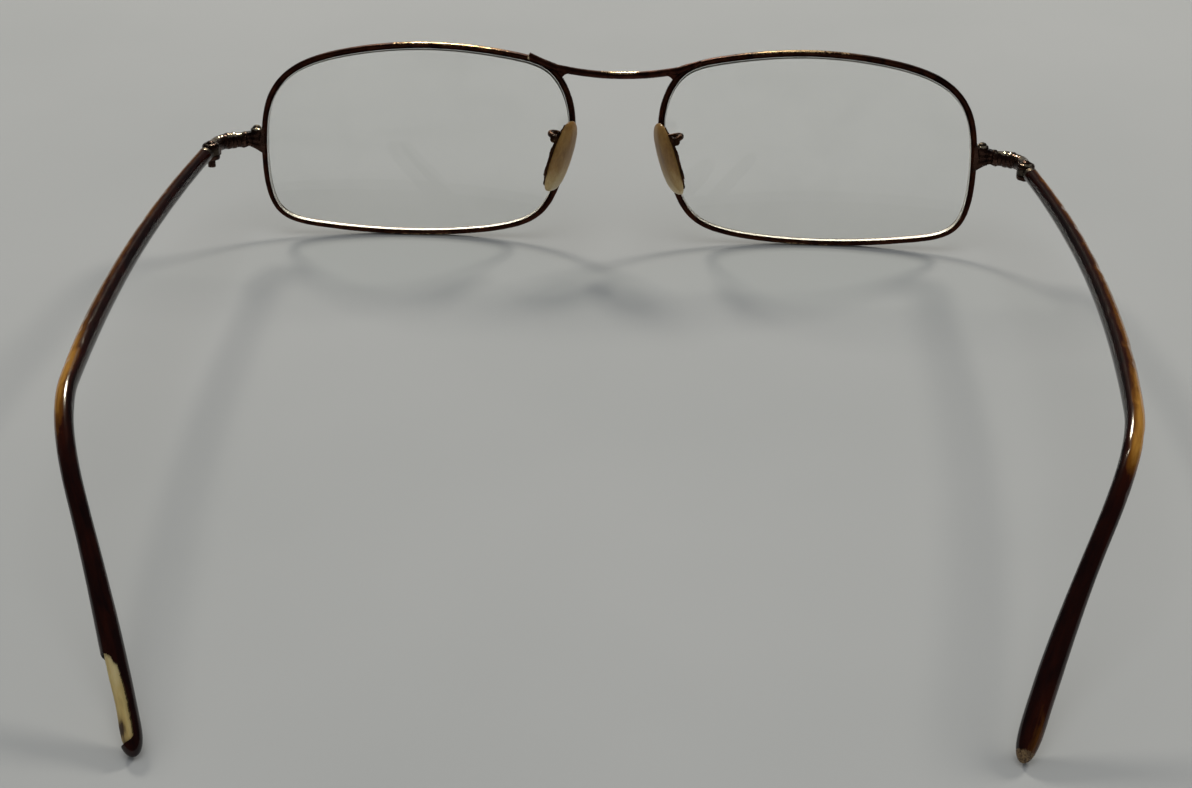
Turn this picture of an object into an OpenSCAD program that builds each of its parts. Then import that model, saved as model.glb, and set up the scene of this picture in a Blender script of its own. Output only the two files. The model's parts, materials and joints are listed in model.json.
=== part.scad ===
// A worn pair of wire-rimmed eyeglasses with celluloid-covered temples.
//
// Everything is built in the wearing frame: X to the wearer's right, Y forward, Z up the rims,
// with the origin midway between the lens centres.  rest_on_floor() then leans the whole pair
// forward until the rims' lower edges and the temple tips stand on Z = 0.

/* [Front] */
// Width of a lens opening, between the rim wire's centre lines
lens_w = 52.6; // [46:0.2:58]
// Height of a lens opening, between the rim wire's centre lines
lens_h = 32.8; // [27:0.2:38]
// Gap at the nose between the two rim wires' centre lines
nose_gap = 15; // [13:0.5:20]
// Radius of the sphere that the rims and the lens fronts follow
base_curve = 120; // [95:5:300]

/* [Rim wire] */
// Thickness of the rim wire, across the lens opening
rim_t = 1.1; // [1:0.05:1.6]
// Width of the rim wire, front to back
rim_w = 1.3; // [1.2:0.05:2]
// Depth of the groove that holds the lens
groove_d = 0.35; // [0.25:0.05:0.5]
// Thickness of the lens's bevel in the groove, front to back
bevel_t = 0.5; // [0.4:0.05:0.6]

/* [Lenses] */
// Thickness at the middle of a lens
lens_t = 1.4; // [1.2:0.1:2.5]
// Radius of the hollow back of a lens
back_curve = 104; // [80:2:110]
// Gap left all round between lens and rim
lens_gap = 0.05; // [0.02:0.01:0.1]

/* [Bridge] */
// Thickness of the bridge wire
bridge_d = 1.25; // [1:0.05:2]
// Height of the middle of the bridge above the lens centres
bridge_z = 11.9; // [9:0.1:14]
// Distance that the bridge runs past the left rim's inner corner, to its blunt end
bridge_over_left = 15; // [14:0.5:17]
// The same distance on the right, where the end is filed smooth
bridge_over_right = 14; // [14:0.5:17]

/* [End pieces] */
// Distance of each hinge screw outward from the rim wire
hinge_out = 7.7; // [7:0.1:10]
// Distance of each hinge screw behind the lens centres
hinge_back = 10; // [9:0.1:13]
// Thickness of the end piece's arm, front to back
arm_t = 1.7; // [1.5:0.1:2.2]
// Height of the end piece's arm
arm_h = 2; // [1.8:0.1:2.4]
// Height of the flare where the end piece is soldered to the rim
flare_h = 4.9; // [4:0.1:6]
// Diameter of the hinge barrel
barrel_d = 2.9; // [2.6:0.1:3.4]
// Height of the hinge barrel
barrel_h = 2.8; // [2.6:0.1:4]
// Height of the hinge barrel's middle above the lens centres
barrel_z = -0.4; // [-0.8:0.1:0]
// Height of the slot for the temple's knuckle
slot_h = 1.2; // [1:0.1:1.4]

/* [Screws] */
// Diameter of the hinge screws
hinge_screw_d = 1.3; // [1:0.1:1.4]
// Length of the left hinge screw below the barrel, where it has worked loose
left_screw_proud = 1.3; // [0.1:0.1:2]
// Length of the right hinge screw below the barrel
right_screw_proud = 0.2; // [0.1:0.1:2]
// Diameter of the screws that close the rims
rim_screw_d = 0.9; // [0.7:0.05:1]
// Gap all round a screw or pin that something turns on
pin_gap = 0.06; // [0.03:0.01:0.08]
// Gap above and below the temple's knuckle in its slot
knuckle_gap = 0.08; // [0.05:0.01:0.15]

/* [Nose pads] */
// Length of a nose pad
pad_len = 12.6; // [9:0.2:14]
// Width of a nose pad
pad_w = 6.4; // [5:0.2:8]
// Thickness of a nose pad
pad_t = 1.7; // [1.4:0.1:2.6]
// Distance of each pad's middle outward from the rim wire at the nose
pad_from_rim = 0.9; // [0.6:0.1:2.5]
// Distance of each pad's middle behind the rim wire at the nose
pad_back = 6.1; // [5.7:0.1:8]
// Angle by which each pad opens towards the wearer
pad_splay = 25; // [15:1:35]
// Angle by which each pad's foot stands wider than its top
pad_flare = 17; // [10:1:25]
// Thickness of the metal backing plate
plate_t = 0.4; // [0.3:0.05:0.6]
// Diameter of the pad arm's wire
pad_wire_d = 0.95; // [0.8:0.05:1.2]
// Diameter of the pad's pivot pin
pad_pin_d = 0.7; // [0.6:0.05:0.9]
// Height of the pad's pivot above the pad's middle
pad_pivot_up = 2.6; // [0:0.1:4]

/* [Temples] */
// Length of each temple from the hinge to the start of its ear bend
shaft_len = 87; // [75:1:95]
// Length of the ear bend
ear_bend_len = 22; // [15:1:30]
// Length of the left temple past its ear bend
left_hook_len = 33; // [26:0.5:38]
// Length of the right temple past its ear bend
right_hook_len = 29; // [26:0.5:38]
// Angle by which the temples drop towards the back, from square to the rims
temple_drop = 4.4; // [0:0.2:8]
// Diameter of the metal core wire
core_d = 1.3; // [1.1:0.1:1.5]
// Diameter of the covering at the hinge end
cover_hinge_d = 2.4; // [2.2:0.1:2.8]
// Diameter of the covering halfway along the shaft
cover_shaft_d = 2.8; // [2.5:0.1:3.2]
// Diameter of the covering below the ear bend
cover_hook_d = 2.4; // [2.3:0.1:3]
// Diameter of the covering at its tip
cover_tip_d = 3; // [2.8:0.1:3.8]
// Length of the pale inner layer at each tip
liner_len = 22; // [18:1:24]
// Thickness of the covering over the inner layer
skin_t = 0.4; // [0.3:0.05:0.5]
// Gap between the layers of a temple
layer_gap = 0.05; // [0.03:0.01:0.08]
// Length of the covering broken off the left tip
broken_len = 12.8; // [8:0.2:16]

/* [Hidden] */

// ---- lens outline: outward and up from the lens centre, a closed B-spline through few points
OUTLINE = [
    [26.5, 0], [25.5, 8], [20.5, 13.5], [9.5, 16], [-3.5, 17], [-17.5, 15.5], [-24, 14],
    [-27.5, 4.5], [-24, -6], [-21, -13.5], [-8.5, -16], [5, -16.5], [18, -15], [26, -13]
];
outline_steps = 84;

function spline_point(p, t) =
    let (n = len(p), k = floor(t), f = t - k)
    (p[(k + n - 1) % n] * pow(1 - f, 3) + p[k % n] * (3 * pow(f, 3) - 6 * f * f + 4)
     + p[(k + 1) % n] * (-3 * pow(f, 3) + 3 * f * f + 3 * f + 1) + p[(k + 2) % n] * pow(f, 3)) / 6;

raw = [for (i = [0:outline_steps - 1]) spline_point(OUTLINE, i * len(OUTLINE) / outline_steps)];
raw_lo = [min([for (p = raw) p.x]), min([for (p = raw) p.y])];
raw_hi = [max([for (p = raw) p.x]), max([for (p = raw) p.y])];
outline = [for (p = raw) [
    ((p.x - raw_lo.x) / (raw_hi.x - raw_lo.x) - 0.5) * lens_w,
    ((p.y - raw_lo.y) / (raw_hi.y - raw_lo.y) - 0.5) * lens_h
]];
outline_normal = [for (i = [0:outline_steps - 1])
    let (t = outline[(i + 1) % outline_steps] - outline[(i + outline_steps - 1) % outline_steps])
    [t.y, -t.x] / norm(t)];

function grown(d) = [for (i = [0:outline_steps - 1]) outline[i] + d * outline_normal[i]];
function dish(x, z) = sqrt(base_curve * base_curve - x * x - z * z) - base_curve;

lens_x = (lens_w + nose_gap) / 2;         // lens centre from the midline
rim_outer_x = lens_x + lens_w / 2;        // rim wire at the temple side
hinge_x = rim_outer_x + hinge_out;
rim_side_y = dish(lens_w / 2, 0);         // rim wire at the temple side, front to back
seat_r = -rim_t / 2 - lens_gap;           // lens edge, from the wire's centre line
bevel_r = seat_r + groove_d;              // lens bevel, from the wire's centre line

// ---- temple paths: a gently bowed shaft, a bend at the ear and a straight hook
// turns of a temple: outward heading, inward bow, inward turn at the ear, downward turn at the
// ear, outward turn along the hook; the two sides are bent differently
LEFT_TURNS = [5.4, 12.2, 22.4, 37, 4.6];
RIGHT_TURNS = [9.2, 15.4, 27.7, 40.7, 9.3];
path_step = 1;

function ramp(s, from, length) = min(1, max(0, (s - from) / length));
function heading(s, turns, hook) =
    turns[0] - turns[1] * ramp(s, 0, shaft_len) - turns[2] * ramp(s, shaft_len, ear_bend_len)
    + turns[4] * ramp(s, shaft_len + ear_bend_len, hook);
function slope(s, turns) = -temple_drop - turns[3] * ramp(s, shaft_len, ear_bend_len);
function along(a, e) = [sin(a) * cos(e), -cos(a) * cos(e), sin(e)];
function temple_total(hook) = shaft_len + ear_bend_len + hook;
// points every path_step, so that path[s] is the place s millimetres from the hinge
function temple_path(turns, hook) = [
    for (s = 0, p = [hinge_x, -hinge_back, 0]; s <= temple_total(hook) + path_step / 2;
         p = p + path_step * along(heading(s + path_step / 2, turns, hook),
                                   slope(s + path_step / 2, turns)),
         s = s + path_step) p];
left_path = temple_path(LEFT_TURNS, left_hook_len);
right_path = temple_path(RIGHT_TURNS, right_hook_len);
function at(path, s) =
    let (k = min(len(path) - 2, floor(s / path_step)), f = s / path_step - k)
    path[k] * (1 - f) + path[k + 1] * f;

// diameters of the covering: [share of the way, diameter]
function cover_d(s, hook) = lookup(s, [
    [0, cover_hinge_d], [shaft_len * 0.35, (cover_hinge_d + cover_shaft_d) / 2],
    [shaft_len * 0.8, cover_shaft_d], [shaft_len + ear_bend_len * 0.7, cover_hook_d],
    [shaft_len + ear_bend_len, cover_hook_d], [temple_total(hook) - 9, cover_tip_d],
    [temple_total(hook), cover_tip_d]
]);

// ---- how the pair stands: the lean that puts rims and left tip on one floor
rim_foot = [0, dish(0, lens_h / 2), -lens_h / 2];
rim_foot_r = rim_t / 2;
tip_r = cover_tip_d / 2;
left_tip = at(left_path, temple_total(left_hook_len) - tip_r);
run = rim_foot.y - left_tip.y;
drop = rim_foot.z - left_tip.z;
lean = atan2(drop, run) - asin((rim_foot_r - tip_r) / norm([run, drop]));
floor_z = rim_foot_r - rim_foot.z * cos(lean) + rim_foot.y * sin(lean);
front_y = dish(0, lens_h / 2) + (lens_h / 2 + rim_t / 2) * sin(lean) + rim_w / 2;
rear_y = left_tip.y * cos(lean) + left_tip.z * sin(lean) - tip_r;
mid_x = 1.2; // the right temple bows out further than the left

module rest_on_floor() {
    translate([-mid_x, -(front_y + rear_y) / 2, floor_z]) rotate([-lean, 0, 0]) children();
}
module right() rest_on_floor() children();
module left() rest_on_floor() mirror([1, 0, 0]) children();

// ---- a tube swept through rings of points; closed = true joins the last ring to the first
module swept(rings, closed = false) {
    n = len(rings[0]);
    m = len(rings);
    walls = [for (i = [0:m - (closed ? 1 : 2)], j = [0:n - 1])
        let (a = i * n + j, b = i * n + (j + 1) % n,
             c = ((i + 1) % m) * n + (j + 1) % n, d = ((i + 1) % m) * n + j)
        each [[a, c, b], [a, d, c]]];
    caps = closed ? [] : [
        [for (j = [0:n - 1]) j], [for (j = [n - 1:-1:0]) (m - 1) * n + j]
    ];
    polyhedron([for (r = rings, p = r) p], concat(walls, caps), convexity = 6);
}

// a ring of n points of radius r round the temple path at s
function path_ring(path, turns, hook, s, r, n) =
    let (a = heading(s, turns, hook), e = slope(s, turns), p = at(path, s),
         side = [cos(a), sin(a), 0], up = cross(along(a, e), side))
    [for (j = [0:n - 1]) p + r * (cos(j * 360 / n) * side + sin(j * 360 / n) * up)];

// ring places along a temple: wide apart on the shaft, close at the ear
function stations(from, to) = [
    for (s = from; s < to - 0.5; s = s + ((s < shaft_len - 3 || s > shaft_len + ear_bend_len) ? 4.5 : 2)) s
];

/* ---------------------------------------------------------------- front */

// grooved section of the rim wire: [outward from the wire's centre line, forward]
groove_half = bevel_t / 2 + lens_gap * 2;
corner = rim_t * 0.28;
RIM_SECTION = [
    [-rim_t / 2 + corner / 3, -rim_w / 2 + corner / 3], [-rim_t / 4, -rim_w / 2],
    [rim_t / 2 - corner, -rim_w / 2], [rim_t / 2 - corner / 4, -rim_w / 2 + corner],
    [rim_t / 2, 0],
    [rim_t / 2 - corner / 4, rim_w / 2 - corner], [rim_t / 2 - corner, rim_w / 2],
    [-rim_t / 4, rim_w / 2], [-rim_t / 2 + corner / 3, rim_w / 2 - corner / 3],
    [-rim_t / 2, groove_half], [-rim_t / 2 + groove_d, groove_half],
    [-rim_t / 2 + groove_d, -groove_half], [-rim_t / 2, -groove_half]
];

module rim() {
    color("#6b4a24")
    translate([lens_x, 0, 0])
    swept([for (i = [0:outline_steps - 1]) [for (q = RIM_SECTION)
        let (p = outline[i] + q.x * outline_normal[i]) [p.x, dish(p.x, p.y) + q.y, p.y]]],
        closed = true);
}

// a sheet of the lens opening, out to r from the rim wire, between two spheres
module lens_sheet(r, front_at, front_r, back_at, back_r) {
    difference() {
        intersection() {
            rotate([90, 0, 0]) linear_extrude(height = 24, center = true) polygon(grown(r));
            translate([0, front_at - front_r, 0]) sphere(front_r, $fn = 240);
        }
        translate([0, back_at - back_r, 0]) sphere(back_r, $fn = 240);
    }
}

module lens() {
    color("#dfe6e4", 0.4)
    translate([lens_x, 0, 0]) {
        lens_sheet(seat_r, bevel_t / 2, base_curve, bevel_t / 2 - lens_t, back_curve);
        lens_sheet(bevel_r, bevel_t / 2, base_curve, -bevel_t / 2, base_curve);
    }
}

// the bridge: a wire that sags between the rims, arches a little forward at its middle and lies
// against the backs of the rims' upper corners, rising with the square of its distance from the
// midline so that its ends run along the rims
bridge_end_z = lens_h / 2 - 0.87;
bridge_seat_x = nose_gap / 2 + 2.6;     // where the wire meets the rims
bridge_arch = 2;                        // middle of the bridge, forward of those seats
bridge_behind = 0.8;                    // blunt end, behind the rim wire's centre line
function bridge_y(x, z) =
    dish(lens_x - max(x, bridge_seat_x), z) + bridge_arch * (1 - pow(min(1, x / bridge_seat_x), 2));
function bridge_point(x) =
    let (far = pow(x / bridge_over_left, 2), z = bridge_z + (bridge_end_z - bridge_z) * far)
    [x, bridge_y(abs(x), z) - bridge_behind * far, z];

module bridge() {
    sides = 10;
    steps = 14;
    filed = 0.85;                       // the right end is filed down past this share of its reach
    crotch = bridge_point(nose_gap / 2 + 1.6);
    color("#6b4a24") {
        swept([for (i = [-steps:steps])
            let (t = i / steps, reach = t < 0 ? bridge_over_left : bridge_over_right, x = t * reach,
                 p = bridge_point(x), q = bridge_point(x + 0.05),
                 a = atan2(q.z - p.z, q.x - p.x), r = bridge_d / 2 * (1 - 3 * max(0, t - filed)))
            [for (j = [0:sides - 1]) let (b = j * 360 / sides)
                p + r * [-sin(a) * sin(b), cos(b), cos(a) * sin(b)]]]);
        // solder webs in the crotches between bridge and rims, with a hollow lower edge
        for (side = [0, 1]) mirror([side, 0, 0]) translate(crotch)
            rotate([90, 0, 0]) linear_extrude(height = rim_w * 0.7, center = true)
                polygon([[-1.1, -0.5], [-0.3, -0.85], [0.1, -1.25], [0.25, -1.8], [0.6, -1.7],
                         [1.5, -0.2], [0, 0]]);
    }
}

/* ---------------------------------------------------------------- end pieces */

arm_bend_r = 4.2;                               // from straight out to straight back
arm_straight = hinge_out - arm_bend_r;          // outward run before the bend
arm_back = hinge_back + rim_side_y - arm_bend_r; // backward run from the bend to the hinge
barrel_r = barrel_d / 2;
hinge_bore_r = hinge_screw_d / 2 + pin_gap;
screw_lug_x = 1.3;                              // closing screw, outward from the rim wire
lug_top = flare_h * 0.39;
rim_head_d = rim_screw_d + 0.5;
flare_len = 3.8;

function arm_section(t, h) =
    [for (k = [0:15]) let (a = k * 22.5 + 11.25)
        [t / 2 * sign(cos(a)) * pow(abs(cos(a)), 0.8), h / 2 * sign(sin(a)) * pow(abs(sin(a)), 0.8)]];

// a turned knob of height h standing on Z = 0, with its top edge rounded by r
module knob(h, d, r) {
    rotate_extrude($fn = 48) polygon(concat([[0, 0], [d / 2, 0]],
        [for (a = [0:22.5:90]) [d / 2 - r + r * cos(a), h - r + r * sin(a)]], [[0, h]]));
}

module endpiece_solid() {
    // flare, soldered to the rim wire: wide at the rim, with hollow edges
    steps = 8;
    top = [for (k = [0:steps]) [flare_len * k / steps,
        arm_h / 2 + (flare_h * 0.45 - arm_h / 2) * pow(1 - k / steps, 1.8)]];
    low = [for (k = [steps:-1:0]) [flare_len * k / steps,
        -arm_h / 2 - (flare_h * 0.55 - arm_h / 2) * pow(1 - k / steps, 1.8)]];
    rotate([90, 0, 0]) linear_extrude(height = arm_t * 0.9, center = true)
        polygon(concat([[-0.1, flare_h * 0.45]], top, low, [[-0.1, -flare_h * 0.55]]));
    // lug round the closing screw
    translate([screw_lug_x, 0, -flare_h * 0.3])
        knob(flare_h * 0.3 + lug_top, rim_screw_d + 1.2, 0.3);
    translate([0.3, -arm_t * 0.45, 0]) cube([screw_lug_x - 0.3, arm_t * 0.9, lug_top - 0.25]);
    // arm: straight out, round the bend and back to the barrel
    translate([flare_len - 1, 0, 0]) rotate([90, 0, 90])
        linear_extrude(height = max(0.2, arm_straight - flare_len + 1)) polygon(arm_section(arm_t, arm_h));
    translate([arm_straight, -arm_bend_r, 0]) rotate_extrude(angle = 90, $fn = 96)
        translate([arm_bend_r, 0]) polygon(arm_section(arm_t, arm_h));
    translate([hinge_out, -arm_bend_r, 0]) rotate([90, 0, 0])
        linear_extrude(height = arm_back) polygon(arm_section(arm_t, arm_h));
    // beads and ridges filed on the arm
    translate([flare_len - 0.7, 0, 0]) rotate([0, 90, 0]) cylinder(h = 0.6, d = arm_h * 1.2, $fn = 32);
    for (a = [50, 64]) translate([arm_straight, -arm_bend_r, 0]) rotate([0, 0, a])
        translate([arm_bend_r, 0.25, 0]) rotate([90, 0, 0])
            cylinder(h = 0.5, d = arm_h * 1.15, $fn = 32);
    // shoulder and barrel of the hinge
    translate([hinge_out, -arm_bend_r - arm_back, barrel_z]) {
        translate([-arm_t * 0.55, barrel_r * 0.6, -barrel_h / 2 + 0.3])
            cube([arm_t * 1.1, barrel_r * 1.3, barrel_h - 0.9]);
        knob(barrel_h / 2, barrel_d, 0.6);
        mirror([0, 0, 1]) knob(barrel_h / 2, barrel_d, 0.3);
    }
}

module endpiece() {
    color("#5a3d1e")
    translate([rim_outer_x, rim_side_y, 0])
    difference() {
        endpiece_solid();
        translate([hinge_out, -arm_bend_r - arm_back, barrel_z]) {
            cylinder(h = barrel_h + 2, r = hinge_bore_r, center = true, $fn = 48);
            cylinder(h = slot_h, r = barrel_r + 0.35, center = true, $fn = 48);
        }
        translate([screw_lug_x, 0, -flare_h * 0.3 - 1])
            cylinder(h = flare_h, d = rim_screw_d + 2 * pin_gap, $fn = 32);
        // notches engraved across the flare, on its wearer's side
        for (k = [0:3]) translate([0.9 + k * 0.7, -arm_t * 0.45, 0])
            rotate([0, 8 * (k - 1), 0]) cylinder(h = flare_h * 0.6, r = 0.16, center = true, $fn = 16);
    }
}

// a screw standing on its point: slotted domed head, plain shank, base of the shank at Z = 0
module screw(d, length, head_d, head_h) {
    cylinder(h = length, d = d, $fn = 32);
    translate([0, 0, length]) difference() {
        intersection() {
            cylinder(h = head_h, d = head_d, $fn = 32);
            translate([0, 0, head_h - head_d * 0.62]) sphere(d = head_d * 1.24, $fn = 48);
        }
        translate([-head_d, -head_d * 0.09, head_h * 0.55]) cube([head_d * 2, head_d * 0.18, head_h]);
    }
}

module hinge_screw(proud) {
    color("#4a3a28")
    translate([hinge_x, -hinge_back, barrel_z - barrel_h / 2 - proud])
        screw(hinge_screw_d, barrel_h + proud, hinge_screw_d + 0.45, 0.4);
}

module rim_screw() {
    color("#b89a62")
    translate([rim_outer_x + screw_lug_x, rim_side_y, -flare_h * 0.3 + 0.3])
        screw(rim_screw_d, flare_h * 0.3 - 0.3 + lug_top, rim_head_d, 0.5);
}

/* ---------------------------------------------------------------- nose pads */

// the pad's frame: length up Z, width to the back along -Y, nose towards -X, and X = 0 on the
// seam between pad and backing plate; turned and flared into place
pad_out = nose_gap / 2 + pad_from_rim;
eye_r = 0.65;
pivot_off = plate_t + eye_r + 0.3;   // pivot axis behind the seam
eye_len = 1.4;
ear_t = 0.4;
ear_gap = 0.08;
pad_bore_r = pad_pin_d / 2 + pin_gap;
plate_past = 0.35;                   // the plate shows past the pad's rear edge

module pad_seam()
    translate([pad_out + pad_t / 2, rim_side_y - pad_back, 0]) rotate([0, -pad_flare, 0]) children();
module pad_place() pad_seam() rotate([0, 0, pad_splay]) children();
module pad_flared() pad_seam() translate([0, 0, pad_pivot_up]) children();
module pivot_place() pad_place() translate([pivot_off, 0, pad_pivot_up]) children();

function oval(length, width, power, teeth = 0, tooth = 0) =
    [for (k = [0:55]) let (a = k * 360 / 56, r = 1 + tooth * (sin(teeth * a) > 0 ? 1 : -1))
        [r * width / 2 * sign(cos(a)) * pow(abs(cos(a)), power),
         r * length / 2 * sign(sin(a)) * pow(abs(sin(a)), power)]];

module nose_pad() {
    dome = 16;
    color("#c8ad78")
    pad_place() intersection() {
        rotate([90, 0, -90]) linear_extrude(height = pad_t) polygon(oval(pad_len, pad_w, 0.85));
        translate([dome - pad_t, 0, 0]) sphere(dome, $fn = 120);
    }
}

module pad_plate() {
    color("#4a3419")
    pad_place() difference() {
        union() {
            translate([plate_t, -plate_past, 0]) rotate([90, 0, -90]) linear_extrude(height = plate_t)
                polygon(oval(pad_len * 0.86, pad_w * 0.92, 0.85, 10, 0.04));
            for (side = [-1, 1]) translate([0, side * (eye_len / 2 + ear_gap + ear_t / 2), pad_pivot_up]) {
                translate([plate_t / 2, -ear_t / 2, -eye_r])
                    cube([pivot_off - plate_t / 2, ear_t, 2 * eye_r]);
                translate([pivot_off, ear_t / 2, 0]) rotate([90, 0, 0])
                    cylinder(h = ear_t, r = eye_r, $fn = 32);
            }
        }
        translate([pivot_off, 0, pad_pivot_up]) rotate([90, 0, 0])
            cylinder(h = pad_w, r = pad_bore_r, center = true, $fn = 32);
    }
}

module pad_pin() {
    head = 0.25;
    half = eye_len / 2 + ear_gap + ear_t + 0.05;
    color("#8a6a38")
    pivot_place() rotate([90, 0, 0]) {
        cylinder(h = 2 * half, d = pad_pin_d, center = true, $fn = 32);
        for (side = [0, 1]) mirror([0, 0, side]) translate([0, 0, half])
            cylinder(h = head, d = pad_pin_d + 0.5, $fn = 32);
    }
}

// the arm: an eye on the pin, a goose-neck out past the pad, a run across behind the lens and a
// bend forward to the back of the rim wire.  Its path lies in the plane of the pad's flare:
// [x, y, heading], measured from the middle of the pad's seam
neck_exit = 0.5;                        // straight out of the eye
arm_bend = 0.8;                         // radius of the bend towards the rim
lens_edge_back = bevel_t / 2 - lens_t - back_curve
    + sqrt(back_curve * back_curve - lens_w * lens_w / 4);
cross_y = pad_back - rim_side_y + lens_edge_back - 0.3 - pad_wire_d / 2;
solder_x = (nose_gap / 2 - 0.15 - pad_out - pad_t / 2 + pad_pivot_up * sin(pad_flare))
    / cos(pad_flare);
solder_y = pad_back - rim_w / 2 + 0.1;
pivot = pivot_off * [cos(pad_splay), sin(pad_splay)];
neck_in = pivot + neck_exit * [cos(pad_splay), sin(pad_splay)];
neck_r = (cross_y - neck_in.y) / (1 + cos(pad_splay));
neck_centre = neck_in + neck_r * [-sin(pad_splay), cos(pad_splay)];
arm_path = concat(
    [[pivot.x, pivot.y, pad_splay]],
    [for (k = [0:9]) let (a = pad_splay + (180 - pad_splay) * k / 9)
        [neck_centre.x + neck_r * sin(a), neck_centre.y - neck_r * cos(a), a]],
    [for (k = [0:4]) let (a = 180 - 90 * k / 4)
        [solder_x + arm_bend * (1 - sin(a)), cross_y + arm_bend * (1 + cos(a)), a]],
    [[solder_x, solder_y, 90]]);

module pad_arm() {
    color("#4a3419") pad_flared() difference() {
        union() {
            rotate([0, 0, pad_splay]) translate([pivot_off, 0, 0]) rotate([90, 0, 0])
                cylinder(h = eye_len, r = eye_r, center = true, $fn = 32);
            swept([for (q = arm_path) [for (j = [0:11]) let (b = j * 30)
                [q.x, q.y, 0]
                + pad_wire_d / 2 * [-sin(q.z) * cos(b), cos(q.z) * cos(b), sin(b)]]]);
        }
        rotate([0, 0, pad_splay]) translate([pivot_off, 0, 0]) rotate([90, 0, 0])
            cylinder(h = pad_w, r = pad_bore_r, center = true, $fn = 32);
    }
}

/* ---------------------------------------------------------------- temples */

butt_len = 3.6;      // hinge to the end of the covering
ferrule_len = 1;
core_seat = 0.8;     // depth of the core wire in the ferrule
core_in_liner = 5;   // depth of the core wire in the pale layer

module butt(turns, hook) {
    knuckle_h = slot_h - 2 * knuckle_gap;
    color("#4a3a28")
    translate([hinge_x, -hinge_back, 0])
    difference() {
        union() {
            translate([0, 0, barrel_z])
                cylinder(h = knuckle_h, r = barrel_r - 0.05, center = true, $fn = 48);
            rotate([-slope(0, turns), 0, heading(0, turns, hook)]) {
                translate([-cover_hinge_d * 0.36, -butt_len + ferrule_len / 2, barrel_z - knuckle_h * 0.36])
                    cube([cover_hinge_d * 0.72, butt_len - ferrule_len, knuckle_h * 0.72]);
                translate([0, -butt_len + ferrule_len, 0]) rotate([90, 0, 0])
                    cylinder(h = ferrule_len, d = cover_hinge_d, $fn = 48);
            }
        }
        translate([0, 0, barrel_z]) cylinder(h = slot_h * 2, r = hinge_bore_r, center = true, $fn = 48);
        rotate([-slope(0, turns), 0, heading(0, turns, hook)])
            translate([0, -butt_len + core_seat, 0]) rotate([90, 0, 0])
                cylinder(h = core_seat + 1, d = core_d + 2 * layer_gap, $fn = 32);
    }
}

// shared ring places, so that the layers' flats lie parallel
function shaft_places(hook) =
    concat([butt_len + layer_gap], stations(butt_len + 2, liner_start(hook)), [liner_start(hook)]);
function liner_start(hook) = temple_total(hook) - liner_len;
function tip_places(hook) = [for (k = [0:6]) liner_start(hook) + k * (liner_len - 4) / 6];
// rings that close a round end: [place, radius]
function end_rings(end, r) = [for (a = [0, 25, 45, 62, 76, 86]) [end - r + r * sin(a), r * cos(a)]];
function reversed(v) = [for (i = [len(v) - 1:-1:0]) v[i]];
module layer(path, turns, hook, rings, sides) {
    swept([for (q = rings) path_ring(path, turns, hook, q[0], q[1], sides)]);
}

core_r = core_d / 2;
bore_r = core_r + layer_gap;
function wide_r(s, hook) = max(cover_d(s, hook) / 2 - skin_t, bore_r + 0.15);
function liner_r(s, hook) = wide_r(s, hook) - layer_gap;

module core(path, turns, hook) {
    places = concat([butt_len - core_seat + layer_gap], shaft_places(hook),
                    [liner_start(hook) + core_in_liner]);
    color("#b08d4f") layer(path, turns, hook, [for (s = places) [s, core_r]], 8);
}

// pale layer: bored at its start for the core wire, then solid to the tip
module liner(path, turns, hook) {
    start = liner_start(hook);
    end = temple_total(hook) - skin_t - layer_gap;
    color("#d8c890") layer(path, turns, hook, concat(
        [[start + core_in_liner + layer_gap, bore_r], [start, bore_r]],
        [for (s = tip_places(hook)) [s, liner_r(s, hook)]],
        end_rings(end, liner_r(end, hook))), 12);
}

// covering: bored for the core wire, wider over the pale layer, round at the tip
module cover(path, turns, hook) {
    start = liner_start(hook);
    end = temple_total(hook);
    color("#5e2c10") layer(path, turns, hook, concat(
        reversed(end_rings(end - skin_t, wide_r(end, hook))),
        [for (s = reversed(tip_places(hook))) [s, wide_r(s, hook)]],
        [[start - layer_gap, wide_r(start, hook)], [start - layer_gap, bore_r]],
        [for (s = reversed(shaft_places(hook))) if (s < start - 1) [s, bore_r]],
        [for (s = concat(shaft_places(hook), [for (s = tip_places(hook)) if (s > start) s]))
            [s, cover_d(s, hook) / 2]],
        end_rings(end, cover_tip_d / 2)), 12);
}

// the left covering's broken tip: its outer side is gone, along a jagged edge, up to a last
// scrap round the very end
module left_break() {
    end = temple_total(left_hook_len);
    a = heading(end, LEFT_TURNS, left_hook_len);
    e = slope(end, LEFT_TURNS);
    x = along(a, e);
    y = [cos(a), sin(a), 0];
    z = cross(x, y);
    p = at(left_path, end);
    far = cover_tip_d;
    multmatrix([[x.x, y.x, z.x, p.x], [x.y, y.y, z.y, p.y], [x.z, y.z, z.z, p.z], [0, 0, 0, 1]])
        linear_extrude(height = far * 2, center = true) polygon([
            [-broken_len - 0.6, far], [-broken_len, 1.04], [-broken_len + 0.5, 0.59],
            [-broken_len + 1.35, 0.38], [-broken_len + 1.7, 0], [-broken_len * 0.74, -0.17],
            [-broken_len * 0.64, -0.27], [-broken_len * 0.55, -0.31], [-broken_len * 0.45, -0.24],
            [-3.8, -0.28], [-2.45, -0.1], [-3.2, 0.9], [-3.4, far]]);
}

module left_temple_cover() {
    color("#5e2c10") difference() {
        cover(left_path, LEFT_TURNS, left_hook_len);
        left_break();
    }
}

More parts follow.
